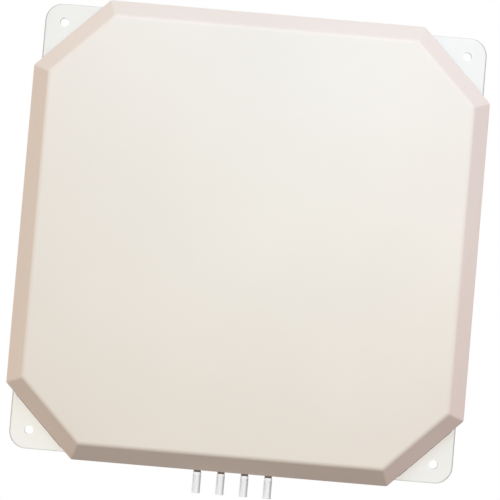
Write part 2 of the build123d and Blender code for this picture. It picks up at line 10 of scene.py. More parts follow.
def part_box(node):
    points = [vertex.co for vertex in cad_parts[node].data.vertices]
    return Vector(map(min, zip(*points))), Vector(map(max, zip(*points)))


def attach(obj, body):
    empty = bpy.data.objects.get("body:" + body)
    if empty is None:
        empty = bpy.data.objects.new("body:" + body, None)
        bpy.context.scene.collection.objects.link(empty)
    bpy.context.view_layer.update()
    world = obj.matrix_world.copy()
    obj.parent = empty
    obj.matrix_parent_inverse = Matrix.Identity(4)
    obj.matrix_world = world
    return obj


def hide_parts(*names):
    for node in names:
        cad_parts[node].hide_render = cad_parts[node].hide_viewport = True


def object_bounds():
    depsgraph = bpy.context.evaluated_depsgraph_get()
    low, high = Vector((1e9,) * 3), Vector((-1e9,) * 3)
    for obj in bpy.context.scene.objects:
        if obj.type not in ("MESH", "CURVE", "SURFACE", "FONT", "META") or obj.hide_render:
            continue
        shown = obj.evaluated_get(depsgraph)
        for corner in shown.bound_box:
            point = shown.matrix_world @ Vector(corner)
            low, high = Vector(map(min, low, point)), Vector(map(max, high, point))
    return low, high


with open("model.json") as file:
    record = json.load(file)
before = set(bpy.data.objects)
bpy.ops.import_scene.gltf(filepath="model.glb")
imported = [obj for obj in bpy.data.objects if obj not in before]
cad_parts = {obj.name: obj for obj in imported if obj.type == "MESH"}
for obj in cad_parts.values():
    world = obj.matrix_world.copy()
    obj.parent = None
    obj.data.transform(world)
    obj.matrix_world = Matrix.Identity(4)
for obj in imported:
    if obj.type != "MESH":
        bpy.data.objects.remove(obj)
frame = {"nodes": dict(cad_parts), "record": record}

# Looks of a four-port antenna panel of a shop security gate.
#
# Everything is in metres, in the frame of the CAD model: X to the right, Z up, and the cover's
# face towards -Y. Sizes that belong to the design come from the frame; the rest are named here.

CAD_BOX = [list(corner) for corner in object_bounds()]
MM = 0.001

# Camera: straight on, from a little below, rolled so that the panel leans to the right.
VIEW_DISTANCE = 1.38
VIEW_WIDTH = 372.2 * MM
VIEW_ROLL = radians(4.9)
VIEW_FROM_BELOW = radians(1.2)
AIM_RIGHT = 1.1 * MM
AIM_DOWN = 5.15 * MM
SENSOR = 36.0

# Studio light. Each lobe is soft light from one direction: axis, sharpness, colour.
LIGHT_LOBES = {
    "left": ((-1.0, -0.6, 0.14), 3.0, (1.61, 1.21, 1.03)),
    "right": ((1.0, -0.6, 0.14), 3.0, (1.31, 0.93, 0.89)),
    "top": ((0.0, -0.6, 1.0), 3.0, (0.14, 0.07, 0.0)),
    "rear": ((0.2, 1.0, 0.35), 3.0, (1.50, 1.47, 1.44)),
}
# Lamps near the panel: place, radius, colour times power. One of them lights the back plate only.
LAMPS = {
    "key": ((0.27, -0.85, 0.55), 0.15, (14.3, 14.3, 14.0)),
    "high": ((0.10, -0.55, 0.40), 0.15, (0.0, 1.3, 3.2)),
    "front": ((0.0, -0.6, 0.05), 0.15, (0.4, 2.0, 1.5)),
    "plate": ((-0.05, -0.45, -0.45), 0.15, (4.5, 5.1, 5.5)),
}
PLATE_LAMP = "plate"
# The camera sees a white surround, and polished parts see a white room that is darker straight
# below the panel and along an axis behind it.
SURROUND = (1.0, 1.0, 1.0)
SHEEN_BELOW = 0.95
SHEEN_BEHIND = 0.35
SHEEN_BEHIND_AXIS = (0.6, 1.0, 0.0)

# Floor: a pale disc under the panel that fades into the white surround.
FLOOR_DROP = 110 * MM
FLOOR_RADIUS = 0.75
FLOOR_FADE_FROM = 0.3 * FLOOR_RADIUS
FLOOR_COLOUR = (0.86, 0.86, 0.85)
FLOOR_SPECKLE = 0.02
FLOOR_GRAIN = 40.0
FLOOR_ROUGHNESS = 0.8

# Coaxial jacks, with their nuts, washers and crimp ferrules. The tail's barbs, the washer's gaps
# and the ferrule's pressed part are given as shares of a barb, a tooth's pitch and the ferrule.
ROUND_STEPS = 60
HEX_SIDES = 6
THREAD_PITCH = 25.4 / 36 * MM
THREAD_DEPTH = 0.43 * MM
THREAD_FLAT = 0.15
RINGS_PER_PITCH = 10
JACK_RADIUS = 3.175 * MM
NECK_RADIUS = 2.0 * MM
COLLAR_RADIUS = 2.95 * MM
COLLAR_LENGTH = 2.0 * MM
COLLAR_GROOVE = 0.35 * MM
BORE_RADIUS = 2.1 * MM
BORE_DEPTH = 12.0 * MM
PIN_BORE_RADIUS = 0.75 * MM
TAIL_RADIUS = 2.0 * MM
TAIL_BARBS = 4
TAIL_BARB_DEPTH = 0.15 * MM
TAIL_BARB_TOP = 0.9
TIP_BREAK = 0.4 * MM
EDGE_BREAK = 0.15 * MM
HEX_CHAMFER = 0.35 * MM
FLANGE_DEPTH = 2.2 * MM
WASHER_TEETH = 12
WASHER_TOOTH = 0.45 * MM
WASHER_GAP = 0.45
FERRULE_CRIMP = 0.25 * MM
FERRULE_BREAK = 0.2 * MM
FERRULE_PRESSED = (0.20, 0.70)
FERRULE_RUN_OUT = 0.05
CABLE_RADIUS = 1.3 * MM
THREAD_CLEARANCE = 0.02 * MM
SHEET_THICKNESS = 1.6 * MM
PORTS = (1, 2, 3, 4)

# Skirt and rubber plugs.
WALL = 3.0 * MM
SKIRT_DRAFT = 1.0 / 13.0
GROMMET_BEAD_RADIUS = 2.65 * MM
GROMMET_BEAD_ROUND = 0.3 * MM
GROMMET_STEPS = 8

# Foam strips. Each waves by noise that is read over NOISE_LENGTH from its own seed, and STRIP_END
# is the share of its section that is left at its two ends.
STRIP_STEPS = 40
STRIP_ROUND = 16
STRIP_WAVE = 0.05 * MM
NOISE_LENGTH = 10.0
STRIP_END = 0.7
CORNER_SEED_STEP = 1.7
EDGE_SEED_STEP = 2.3

# Foam pillar and vent film. The pillar is rounded over a share of its length at each end, and its
# ripple is noise that is read on a cylinder of radius PILLAR_RIPPLE_TURN.
PILLAR_WAIST = 0.45 * MM
PILLAR_ROUND = 0.4 * MM
PILLAR_ROUND_SHARE = 0.125
PILLAR_RIPPLE = 0.10 * MM
PILLAR_RIPPLE_LENGTH = 3.0 * MM
PILLAR_RIPPLE_TURN = 3.0
VENT_RIM = 4.2 * MM
VENT_DISH = 0.15 * MM
VENT_STEPS = 6

# Rear label: an empty printed frame with ruled rows inside the film's rim.
LABEL_INSET = 2.5 * MM
LABEL_LINE = 0.35 * MM
LABEL_ROWS = 4

# Coated plate: painted shade, grey on the edges that face left or right.
EDGE_SHADE_START = 0.05
EDGE_SHADE_FULL = 0.40
EDGE_SHADE_COLOUR = (0.46, 0.48, 0.47)

# Feed boards. Places are measured from a board's centre: X towards the panel's middle, Z up.
TRACE_PROUD = 0.05 * MM
TRACE_WIDTH = 2.2 * MM
PAD_LENGTH = 4.0 * MM
PAD_WIDTH = 3.0 * MM
SOLDER_RADIUS = 1.5 * MM
SOLDER_HEIGHT = 0.6 * MM
SOLDER_TAPER = 0.75
SOLDER_CURVE = 0.6
CHIP_SIZE = (2.0 * MM, 1.25 * MM, 0.55 * MM)
CHIP_CHAMFER = 0.1 * MM
PAD_X = 15.5 * MM
GROUND_X = 17.5 * MM
GROUND_Z = 3.6 * MM
STUB_X = 12.0 * MM
STUB_Z = 6.0 * MM
DOME_STEPS = 6
DOME_ROUND = 24

SMOOTH_ANGLE = radians(32)
JOIN_DISTANCE = 0.002 * MM
SORT_DIGITS = 4


# --- Reading the frame -----------------------------------------------------------------------


def middle(node):
    """Centre of a CAD node's box."""
    low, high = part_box(node)
    return (low + high) / 2


def solids_of(node):
    """Boxes (low, high) of the separate solids in a CAD node, sorted from left to right."""
    shape = bmesh.new()
    shape.from_mesh(frame["nodes"][node].data)
    bmesh.ops.remove_doubles(shape, verts=shape.verts, dist=JOIN_DISTANCE)
    unseen = set(shape.verts)
    boxes = []
    while unseen:
        group = [unseen.pop()]
        for vert in group:
            for edge in vert.link_edges:
                other = edge.other_vert(vert)
                if other in unseen:
                    unseen.remove(other)
                    group.append(other)
        low = Vector([min(vert.co[axis] for vert in group) for axis in range(3)])
        high = Vector([max(vert.co[axis] for vert in group) for axis in range(3)])
        boxes.append((low, high))
    shape.free()
    return sorted(boxes, key=lambda box: (round(box[0].x, SORT_DIGITS), round(box[0].z, SORT_DIGITS)))


# --- Mesh building ---------------------------------------------------------------------------


def skin(shape, rings, loop=False):
    """Faces between rings of points; a loop joins the last ring to the first, else both are capped."""
    bands = [[shape.verts.new(point) for point in ring] for ring in rings]
    pairs = list(zip(bands, bands[1:]))
    if loop:
        pairs.append((bands[-1], bands[0]))
    for first, second in pairs:
        count = len(first)
        for index in range(count):
            after = (index + 1) % count
            shape.faces.new((first[index], first[after], second[after], second[index]))
    if not loop:
        shape.faces.new(list(reversed(bands[0])))
        shape.faces.new(bands[-1])


def ring_z(x, y, z, radius, count=ROUND_STEPS):
    """Ring about a vertical axis; radius is a number or a function of the angle."""
    points = []
    for step in range(count):
        angle = tau * step / count
        reach = radius(angle) if callable(radius) else radius
        points.append(Vector((x + reach * cos(angle), y + reach * sin(angle), z)))
    return points


def ring_y(x, y, z, radius, count=ROUND_STEPS):
    """Ring about an axis that runs from front to back."""
    points = []
    for step in range(count):
        angle = tau * step / count
        reach = radius(angle) if callable(radius) else radius
        points.append(Vector((x + reach * cos(angle), y, z + reach * sin(angle))))
    return points


def hexagon(apothem, limit):
    """Radius of a hexagon as a function of angle, cut by a round limit at its corners."""
    def reach(angle):
        part = tau / HEX_SIDES
        from_flat = (angle + part / 2) % part - part / 2
        return min(apothem / cos(from_flat), limit)
    return reach


def thread(z, start, end):
    """Radius of a screw thread as a function of angle, at one height between its two ends."""
    fade = max(0.0, min(1.0, (z - start) / THREAD_PITCH, (end - z) / THREAD_PITCH))

    def reach(angle):
        turn = z / THREAD_PITCH - angle / tau
        ridge = abs(2 * (turn - floor(turn)) - 1)
        height = max(0.0, min(1.0, (ridge - THREAD_FLAT) / (1 - 2 * THREAD_FLAT)))
        return JACK_RADIUS - THREAD_DEPTH * fade * (1 - height)
    return reach


def turned(x, y, profile):
    """Rings about a vertical axis from pairs of height and radius."""
    return [ring_z(x, y, z, radius) for z, radius in profile]


def threaded_rings(x, y, start, end):
    """Rings of a threaded length between two heights."""
    count = round((end - start) / THREAD_PITCH * RINGS_PER_PITCH)
    heights = [start + (end - start) * step / count for step in range(count + 1)]
    return turned(x, y, [(z, thread(z, start, end)) for z in heights])


def piece(name, shape, materials, nodes):
    """Turn built geometry into a piece that rides on the panel in place of some CAD nodes."""
    bmesh.ops.recalc_face_normals(shape, faces=shape.faces)
    mesh = bpy.data.meshes.new(name)
    shape.to_mesh(mesh)
    shape.free()
    mesh.polygons.foreach_set("use_smooth", [True] * len(mesh.polygons))
    mesh.set_sharp_from_angle(angle=SMOOTH_ANGLE)
    for material in materials:
        mesh.materials.append(material)
    made = bpy.data.objects.new(name, mesh)
    bpy.context.scene.collection.objects.link(made)
    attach(made, "root")
    if nodes:
        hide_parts(*nodes)


# --- Shader helpers --------------------------------------------------------------------------


def add(tree, kind, settings=None, **inputs):
    """New shader node; underscores in input names stand for spaces, and sockets are linked."""
    node = tree.nodes.new(kind)
    for key, value in (settings or {}).items():
        setattr(node, key, value)
    for key, value in inputs.items():
        socket = node.inputs[key.replace("_", " ")]
        if isinstance(value, bpy.types.NodeSocket):
            tree.links.new(value, socket)
        else:
            socket.default_value = value
    return node


def maths(tree, operation, *values):
    """Maths node of one operation; returns its output."""
    node = tree.nodes.new("ShaderNodeMath")
    node.operation = operation
    for index, value in enumerate(values):
        if isinstance(value, bpy.types.NodeSocket):
            tree.links.new(value, node.inputs[index])
        else:
            node.inputs[index].default_value = value
    return node.outputs[0]


def ramp(tree, factor, low, high, start=0.3, end=0.7):
    """Colour that goes from low to high as the factor goes from start to end."""
    node = add(tree, "ShaderNodeValToRGB", Fac=factor)
    first, second = node.color_ramp.elements
    first.position = start
    first.color = (*low, 1.0)
    second.position = end
    second.color = (*high, 1.0)
    return node.outputs["Color"]


def spread(tree, factor, low, high):
    """Number that goes from low to high as the factor goes from 0 to 1."""
    node = add(tree, "ShaderNodeMapRange", Value=factor)
    node.inputs["To Min"].default_value = low
    node.inputs["To Max"].default_value = high
    return node.outputs["Result"]


def stretched(tree, scale):
    """Object coordinates with a separate scale along each axis."""
    place = add(tree, "ShaderNodeTexCoord").outputs["Object"]
    mapping = add(tree, "ShaderNodeMapping", Vector=place)
    mapping.inputs["Scale"].default_value = scale
    return mapping.outputs["Vector"]


def grain(tree, scale, detail=3.0, stretch=(1.0, 1.0, 1.0)):
    """Noise at a scale in cycles per metre."""
    place = stretched(tree, stretch)
    texture = add(tree, "ShaderNodeTexNoise", Vector=place, Scale=scale, Detail=detail)
    return texture.outputs["Fac"]


def cells(tree, scale, feature="F1"):
    """Distance field of random cells."""
    texture = add(tree, "ShaderNodeTexVoronoi", {"feature": feature}, Scale=scale)
    tree.links.new(stretched(tree, (1.0, 1.0, 1.0)), texture.inputs["Vector"])
    return texture.outputs["Distance"]


def bump(tree, height, strength, depth):
    """Bump normal from a height between 0 and 1, depth metres deep."""
    node = add(tree, "ShaderNodeBump", Height=height, Strength=strength, Distance=depth)
    return node.outputs["Normal"]


def finish(name, colour, roughness, normal=None, metallic=0.0, **extra):
    """Material whose parts are made by functions of its node tree."""
    material = bpy.data.materials.new(name)
    material.use_nodes = True
    tree = material.node_tree
    shader = tree.nodes["Principled BSDF"]
    tree.links.new(colour(tree), shader.inputs["Base Color"])
    tree.links.new(roughness(tree), shader.inputs["Roughness"])
    if normal:
        tree.links.new(normal(tree), shader.inputs["Normal"])
    shader.inputs["Metallic"].default_value = metallic
    for key, value in extra.items():
        shader.inputs[key.replace("_", " ")].default_value = value
    return material


# --- Materials -------------------------------------------------------------------------------


def cover_plastic():
    """Warm off-white moulded plastic with a fine spark-eroded grain."""
    dark = (0.850, 0.820, 0.768)
    light = (0.875, 0.848, 0.796)

    def colour(tree):
        return ramp(tree, grain(tree, scale=9.0), dark, light)

    def roughness(tree):
        return spread(tree, grain(tree, scale=60.0), low=0.42, high=0.56)

    def normal(tree):
        return bump(tree, grain(tree, scale=2600.0, detail=2.0), strength=0.12, depth=0.1 * MM)
    return finish("cover_plastic", colour, roughness, normal)


def plate_coat():
    """White powder coat with orange peel, with painted shade: grey on edges that face left or right.
    """
    dark = (0.765, 0.765, 0.730)
    light = (0.785, 0.785, 0.750)

    def colour(tree):
        paint = ramp(tree, grain(tree, scale=14.0), dark, light)
        normal = add(tree, "ShaderNodeNewGeometry").outputs["Normal"]
        side = maths(tree, "ABSOLUTE", add(tree, "ShaderNodeSeparateXYZ", Vector=normal).outputs["X"])
        # Painted shade: edges whose normals turn left or right go grey, as rounded edges do in shade.
        edge_shade = add(tree, "ShaderNodeMapRange", Value=side)
        edge_shade.inputs["From Min"].default_value = EDGE_SHADE_START
        edge_shade.inputs["From Max"].default_value = EDGE_SHADE_FULL
        shade = add(tree, "ShaderNodeMix", {"data_type": "RGBA"}, Factor=edge_shade.outputs["Result"])
        tree.links.new(paint, shade.inputs["A"])
        shade.inputs["B"].default_value = (*EDGE_SHADE_COLOUR, 1.0)
        return shade.outputs["Result"]

    def roughness(tree):
        return spread(tree, grain(tree, scale=240.0), low=0.28, high=0.42)

    def normal(tree):
        return bump(tree, grain(tree, scale=900.0, detail=2.0), strength=0.15, depth=0.15 * MM)
    return finish("plate_coat", colour, roughness, normal, Coat_Weight=1.0, Coat_Roughness=0.2)


def foam(name, dark, light, scale):
    """Closed-cell foam: small cells with darker walls."""
    def colour(tree):
        return ramp(tree, cells(tree, scale), dark, light, start=0.1, end=0.8)

    def roughness(tree):
        return spread(tree, grain(tree, scale / 4), low=0.80, high=0.95)

    def normal(tree):
        return bump(tree, cells(tree, scale), strength=0.6, depth=0.25 * MM)
    return finish(name, colour, roughness, normal, Specular_IOR_Level=0.25)


def seal_foam():
    """Brown foam rubber with fine cells, painted darker than its own colour as shade for the gap at
    the cover's foot.
    """
    # Painted shade: these colours are darker than the foam itself, to draw the shadowed gap at the
    # cover's foot.
    dark = (0.080, 0.062, 0.052)
    light = (0.140, 0.112, 0.095)
    return foam("seal_foam", dark, light, scale=2400.0)


def pillar_foam():
    """White foam with larger cells."""
    dark = (0.66, 0.66, 0.64)
    light = (0.86, 0.86, 0.84)
    return foam("pillar_foam", dark, light, scale=900.0)


def grommet_rubber():
    """Dark brown moulded rubber with a faint bloom; on the plugs' collars its dark is also painted
    shade for the skirt's shadow at the jacks' roots.
    """
    dark = (0.150, 0.122, 0.110)
    light = (0.210, 0.172, 0.156)

    def colour(tree):
        return ramp(tree, grain(tree, scale=700.0), dark, light)

    def roughness(tree):
        return spread(tree, grain(tree, scale=900.0), low=0.60, high=0.80)

    def normal(tree):
        return bump(tree, grain(tree, scale=4000.0), strength=0.20, depth=0.05 * MM)
    return finish("grommet_rubber", colour, roughness, normal)


def brushed(name, dark, light, stretch, rough, scale=900.0):
    """Metal with fine lines along the axes whose stretch is small."""
    def lines(tree):
        return grain(tree, scale, detail=4.0, stretch=stretch)

    def colour(tree):
        return ramp(tree, lines(tree), dark, light, start=0.25, end=0.75)

    def roughness(tree):
        return spread(tree, lines(tree), *rough)

    def normal(tree):
        return bump(tree, lines(tree), strength=0.10, depth=0.03 * MM)
    return finish(name, colour, roughness, normal, metallic=1.0)


def screw_steel():
    """Stainless steel with turning marks."""
    dark = (0.34, 0.34, 0.335)
    light = (0.46, 0.46, 0.455)
    return brushed("screw_steel", dark, light, (1.0, 4.0, 1.0), rough=(0.22, 0.38), scale=700.0)


def port_plating():
    """Bright nickel on the jacks' turned bodies."""
    dark = (0.94, 0.945, 0.955)
    light = (0.98, 0.985, 0.99)
    return brushed("port_plating", dark, light, (1.0, 1.0, 6.0), rough=(0.16, 0.26))


def collar_plating():
    """The same nickel left satin on the jacks' collars."""
    dark = (0.95, 0.95, 0.94)
    light = (0.99, 0.99, 0.98)
    return brushed("collar_plating", dark, light, (1.0, 1.0, 3.0), rough=(0.42, 0.55))


def contact_gold():
    """Thin gold plating."""
    dark = (0.88, 0.62, 0.26)
    light = (0.96, 0.72, 0.36)
    return brushed("contact_gold", dark, light, (1.0, 1.0, 5.0), rough=(0.18, 0.28))


def pin_brass():
    """Tinned brass with a dull tarnish."""
    dark = (0.66, 0.52, 0.28)
    light = (0.80, 0.66, 0.40)
    return brushed("pin_brass", dark, light, (1.0, 3.0, 1.0), rough=(0.28, 0.42))


def patch_sheet():
    """Rolled aluminium sheet with its grain from left to right."""
    dark = (0.80, 0.80, 0.80)
    light = (0.90, 0.90, 0.90)
    return brushed("patch_sheet", dark, light, (0.03, 1.0, 1.0), rough=(0.24, 0.40))


def bracket_zinc():
    """Zinc-plated steel with a soft spangle."""
    dark = (0.56, 0.58, 0.60)
    light = (0.74, 0.75, 0.76)

    def colour(tree):
        return ramp(tree, cells(tree, scale=260.0), dark, light, start=0.1, end=0.9)

    def roughness(tree):
        return spread(tree, grain(tree, scale=320.0), low=0.30, high=0.50)

    def normal(tree):
        return bump(tree, grain(tree, scale=1500.0), strength=0.10, depth=0.03 * MM)
    return finish("bracket_zinc", colour, roughness, normal, metallic=1.0)


def solder_tin():
    """Bright solder with a slightly frosted skin."""
    dark = (0.70, 0.70, 0.72)
    light = (0.84, 0.84, 0.85)

    def colour(tree):
        return ramp(tree, grain(tree, scale=1500.0), dark, light)

    def roughness(tree):
        return spread(tree, grain(tree, scale=2500.0), low=0.20, high=0.45)
    return finish("solder_tin", colour, roughness, metallic=1.0)


def soft_plastic(name, dark, light, glow):
    """Translucent plastic that lets some light in."""
    def colour(tree):
        return ramp(tree, grain(tree, scale=180.0), dark, light)

    def roughness(tree):
        return spread(tree, grain(tree, scale=400.0), low=0.45, high=0.60)

    def normal(tree):
        return bump(tree, grain(tree, scale=2200.0), strength=0.08, depth=0.05 * MM)
    scatter = {"Subsurface_Weight": glow, "Subsurface_Scale": 1.5 * MM}
    return finish(name, colour, roughness, normal, **scatter)


def insulator_white():
    """White fluoroplastic."""
    dark = (0.84, 0.84, 0.84)
    light = (0.92, 0.92, 0.92)
    return soft_plastic("insulator_white", dark, light, glow=0.25)


def nylon_natural():
    """Undyed nylon, a little yellow."""
    dark = (0.78, 0.75, 0.66)
    light = (0.86, 0.83, 0.74)
    return soft_plastic("nylon_natural", dark, light, glow=0.3)


def cable_jacket():
    """Smooth brown cable jacket with a few scuffs."""
    dark = (0.20, 0.10, 0.055)
    light = (0.30, 0.16, 0.09)

    def colour(tree):
        return ramp(tree, grain(tree, scale=260.0), dark, light)

    def roughness(tree):
        return spread(tree, grain(tree, scale=900.0), low=0.22, high=0.40)

    def normal(tree):
        return bump(tree, grain(tree, scale=1800.0), strength=0.06, depth=0.05 * MM)
    return finish("cable_jacket", colour, roughness, normal)


def board_laminate():
    """Green laminate whose glass weave shows faintly."""
    dark = (0.025, 0.110, 0.060)
    light = (0.045, 0.170, 0.095)

    def weave(tree):
        threads = []
        for direction in ("X", "Z"):
            settings = {"bands_direction": direction}
            wave = add(tree, "ShaderNodeTexWave", settings, Scale=300.0, Distortion=0.4)
            tree.links.new(stretched(tree, (1.0, 1.0, 1.0)), wave.inputs["Vector"])
            threads.append(wave.outputs["Fac"])
        return maths(tree, "MAXIMUM", *threads)

    def colour(tree):
        return ramp(tree, weave(tree), dark, light, start=0.2, end=0.9)

    def roughness(tree):
        return spread(tree, grain(tree, scale=300.0), low=0.25, high=0.40)

    def normal(tree):
        return bump(tree, weave(tree), strength=0.12, depth=0.05 * MM)
    return finish("board_laminate", colour, roughness, normal, Coat_Weight=0.3)


def membrane_white():
    """White vent film with a pressed net pattern."""
    dark = (0.80, 0.80, 0.78)
    light = (0.90, 0.90, 0.88)

    def net(tree):
        return cells(tree, scale=1600.0, feature="DISTANCE_TO_EDGE")

    def colour(tree):
        return ramp(tree, net(tree), dark, light, start=0.02, end=0.3)

    def roughness(tree):
        return spread(tree, grain(tree, scale=800.0), low=0.70, high=0.85)

    def normal(tree):
        return bump(tree, net(tree), strength=0.4, depth=0.08 * MM)
    return finish("membrane_white", colour, roughness, normal)


def label_ink(tree):
    """1 on the label's printed frame and rules, and 0 elsewhere."""
    low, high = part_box("rear_label")
    centre = middle("rear_label")
    half_x = (high.x - low.x) / 2 - LABEL_INSET
    half_z = (high.z - low.z) / 2 - LABEL_INSET
    pitch = 2 * half_z / LABEL_ROWS
    place = add(tree, "ShaderNodeTexCoord").outputs["Object"]
    parts = add(tree, "ShaderNodeSeparateXYZ", Vector=place).outputs
    across = maths(tree, "ABSOLUTE", maths(tree, "SUBTRACT", parts["X"], centre.x))
    up = maths(tree, "SUBTRACT", parts["Z"], centre.z)
    away = maths(tree, "ABSOLUTE", up)
    inside_x = maths(tree, "LESS_THAN", across, half_x)
    inside_z = maths(tree, "LESS_THAN", away, half_z)
    inside = maths(tree, "MULTIPLY", inside_x, inside_z)
    row = maths(tree, "PINGPONG", maths(tree, "ADD", up, half_z), pitch / 2)
    on_rule = maths(tree, "LESS_THAN", row, LABEL_LINE / 2)
    on_side = maths(tree, "GREATER_THAN", across, half_x - LABEL_LINE)
    on_end = maths(tree, "GREATER_THAN", away, half_z - LABEL_LINE)
    marks = maths(tree, "MAXIMUM", maths(tree, "MAXIMUM", on_rule, on_side), on_end)
    return maths(tree, "MULTIPLY", marks, inside)


def label_film():
    """Matt silver polyester film with an empty printed frame and ruled rows."""
    silver = (0.74, 0.75, 0.76)
    ink = (0.10, 0.10, 0.11)

    def colour(tree):
        return ramp(tree, label_ink(tree), silver, ink, start=0.2, end=0.8)

    def roughness(tree):
        return spread(tree, grain(tree, scale=500.0), low=0.35, high=0.50)

    def normal(tree):
        return bump(tree, grain(tree, scale=1200.0), strength=0.06, depth=0.03 * MM)
    return finish("label_film", colour, roughness, normal, metallic=0.3)


def all_materials():
    """Every material by name: the slots of the record, and two more for collars and solder."""
    makers = (
        cover_plastic,
        plate_coat,
        seal_foam,
        pillar_foam,
        grommet_rubber,
        screw_steel,
        port_plating,
        collar_plating,
        contact_gold,
        pin_brass,
        patch_sheet,
        bracket_zinc,
        solder_tin,
        insulator_white,
        nylon_natural,
        cable_jacket,
        board_laminate,
        membrane_white,
        label_film,
    )
    return {make.__name__: make() for make in makers}


def slot_of_nodes():
    """The record's material slot of each CAD node."""
    return {part["node"]: part["material_slot"] for part in frame["record"]["subparts"]}


# --- Pieces along the bottom edge ------------------------------------------------------------


def port_axis(number):
    """X and Y of one port's axis."""
    centre = middle(f"port_jack_{number}")
    return centre.x, centre.y


def jack_nose(x, y, tip, collar_foot, collar_top):
    """Rings of a jack from its mouth, along the free thread and the collar, to the neck."""
    thread_end = collar_foot - COLLAR_GROOVE
    mouth = (
        (tip + EDGE_BREAK, BORE_RADIUS),
        (tip, BORE_RADIUS + EDGE_BREAK),
        (tip, JACK_RADIUS - TIP_BREAK),
    )
    collar = (
        (thread_end, JACK_RADIUS - THREAD_DEPTH),
        (collar_foot, JACK_RADIUS - THREAD_DEPTH),
        (collar_foot + EDGE_BREAK, COLLAR_RADIUS),
        (collar_top - EDGE_BREAK, COLLAR_RADIUS),
        (collar_top, COLLAR_RADIUS - EDGE_BREAK),
        (collar_top, NECK_RADIUS),
    )
    free_thread = threaded_rings(x, y, tip + TIP_BREAK, thread_end)
    return turned(x, y, mouth) + free_thread + turned(x, y, collar)


def jack_body(x, y, neck_end, flange, hex_flat):
    """Rings of a jack from the end of its neck, along the clamped thread and the flange."""
    flange_end = flange + FLANGE_DEPTH
    hex_corner = hex_flat / cos(pi / HEX_SIDES)
    neck = (
        (neck_end, NECK_RADIUS),
        (neck_end, JACK_RADIUS - TIP_BREAK),
    )
    head = (
        (flange, hexagon(hex_flat, hex_corner - HEX_CHAMFER)),
        (flange_end - HEX_CHAMFER, hexagon(hex_flat, hex_corner)),
        (flange_end, hexagon(hex_flat, hex_flat)),
        (flange_end, TAIL_RADIUS),
    )
    clamped_thread = threaded_rings(x, y, neck_end + EDGE_BREAK, flange)
    return turned(x, y, neck) + clamped_thread + turned(x, y, head)


def jack_tail(x, y, tip, flange_end, tail_end):
    """Rings of a jack's barbed tail, and back inside it along the two bores."""
    barb = (tail_end - flange_end) / TAIL_BARBS
    profile = []
    for step in range(TAIL_BARBS):
        profile.append((flange_end + barb * (step + TAIL_BARB_TOP), TAIL_RADIUS))
        profile.append((flange_end + barb * (step + 1), TAIL_RADIUS - TAIL_BARB_DEPTH))
    profile.append((tail_end, PIN_BORE_RADIUS))
    profile.append((tip + BORE_DEPTH, PIN_BORE_RADIUS))
    profile.append((tip + BORE_DEPTH, BORE_RADIUS))
    return turned(x, y, profile)


def make_jack(number):
    """One jack, turned in one piece, with a satin collar."""
    low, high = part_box(f"port_jack_{number}")
    x, y = port_axis(number)
    collar_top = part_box("port_grommets")[0].z
    collar_foot = collar_top - COLLAR_LENGTH
    neck_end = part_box("port_nuts")[0].z
    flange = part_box("port_lock_washers")[1].z + SHEET_THICKNESS
    rings = jack_nose(x, y, low.z, collar_foot, collar_top)
    rings += jack_body(x, y, neck_end, flange, (high.y - low.y) / 2)
    rings += jack_tail(x, y, low.z, flange + FLANGE_DEPTH, high.z)
    shape = bmesh.new()
    skin(shape, rings, loop=True)
    for face in shape.faces:
        height = face.calc_center_median().z
        face.material_index = int(collar_foot < height < collar_top)
    finishes = (looks["port_plating"], looks["collar_plating"])
    piece(f"port_jack_{number}_turned", shape, finishes, [f"port_jack_{number}"])


def piece_at_ports(name, profile, node):
    """Plated piece with the same turned profile about the axis of every port."""
    shape = bmesh.new()
    for number in PORTS:
        skin(shape, turned(*port_axis(number), profile), loop=True)
    piece(name, shape, [looks["port_plating"]], [node])


def make_nuts():
    """Hexagon nuts with chamfered corners and a round hole."""
    low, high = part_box("port_nuts")
    hex_flat = (high.y - low.y) / 2
    hex_corner = hex_flat / cos(pi / HEX_SIDES)
    bore = JACK_RADIUS + THREAD_CLEARANCE
    profile = (
        (low.z + TIP_BREAK, bore),
        (low.z, bore + THREAD_CLEARANCE),
        (low.z, hexagon(hex_flat, hex_flat)),
        (low.z + HEX_CHAMFER, hexagon(hex_flat, hex_corner)),
        (high.z - HEX_CHAMFER, hexagon(hex_flat, hex_corner)),
        (high.z, hexagon(hex_flat, hex_flat)),
        (high.z, bore + THREAD_CLEARANCE),
        (high.z - TIP_BREAK, bore),
    )
    piece_at_ports("port_nuts_chamfered", profile, "port_nuts")


def make_washers():
    """Lock washers with teeth around the hole."""
    low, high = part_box("port_lock_washers")
    outer = (high.y - low.y) / 2
    inner = JACK_RADIUS + THREAD_CLEARANCE

    def toothed(angle):
        part = angle * WASHER_TEETH / tau % 1
        return inner + (WASHER_TOOTH if part < WASHER_GAP else 0.0)

    profile = (
        (low.z, toothed),
        (low.z, outer - EDGE_BREAK),
        (low.z + EDGE_BREAK, outer),
        (high.z - EDGE_BREAK, outer),
        (high.z, outer - EDGE_BREAK),
        (high.z, toothed),
    )
    piece_at_ports("port_lock_washers_toothed", profile, "port_lock_washers")


def make_ferrules():
    """Crimp ferrules: round at both ends and pressed to a hexagon between."""
    low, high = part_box("crimp_ferrules")
    outer = (high.y - low.y) / 2
    tail_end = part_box("port_jack_1")[1].z
    tail_bore = TAIL_RADIUS + THREAD_CLEARANCE
    cable_bore = CABLE_RADIUS + THREAD_CLEARANCE
    pressed = hexagon(outer - FERRULE_CRIMP, outer)
    length = high.z - low.z
    start, end = [low.z + share * length for share in FERRULE_PRESSED]
    run_out = FERRULE_RUN_OUT * length
    profile = (
        (low.z, tail_bore),
        (low.z, outer - FERRULE_BREAK),
        (low.z + FERRULE_BREAK, outer),
        (start - run_out, outer),
        (start, pressed),
        (end, pressed),
        (end + run_out, outer),
        (high.z - FERRULE_BREAK, outer),
        (high.z, outer - FERRULE_BREAK),
        (high.z, cable_bore),
        (tail_end, cable_bore),
        (tail_end, tail_bore),
    )
    piece_at_ports("crimp_ferrules_pressed", profile, "crimp_ferrules")


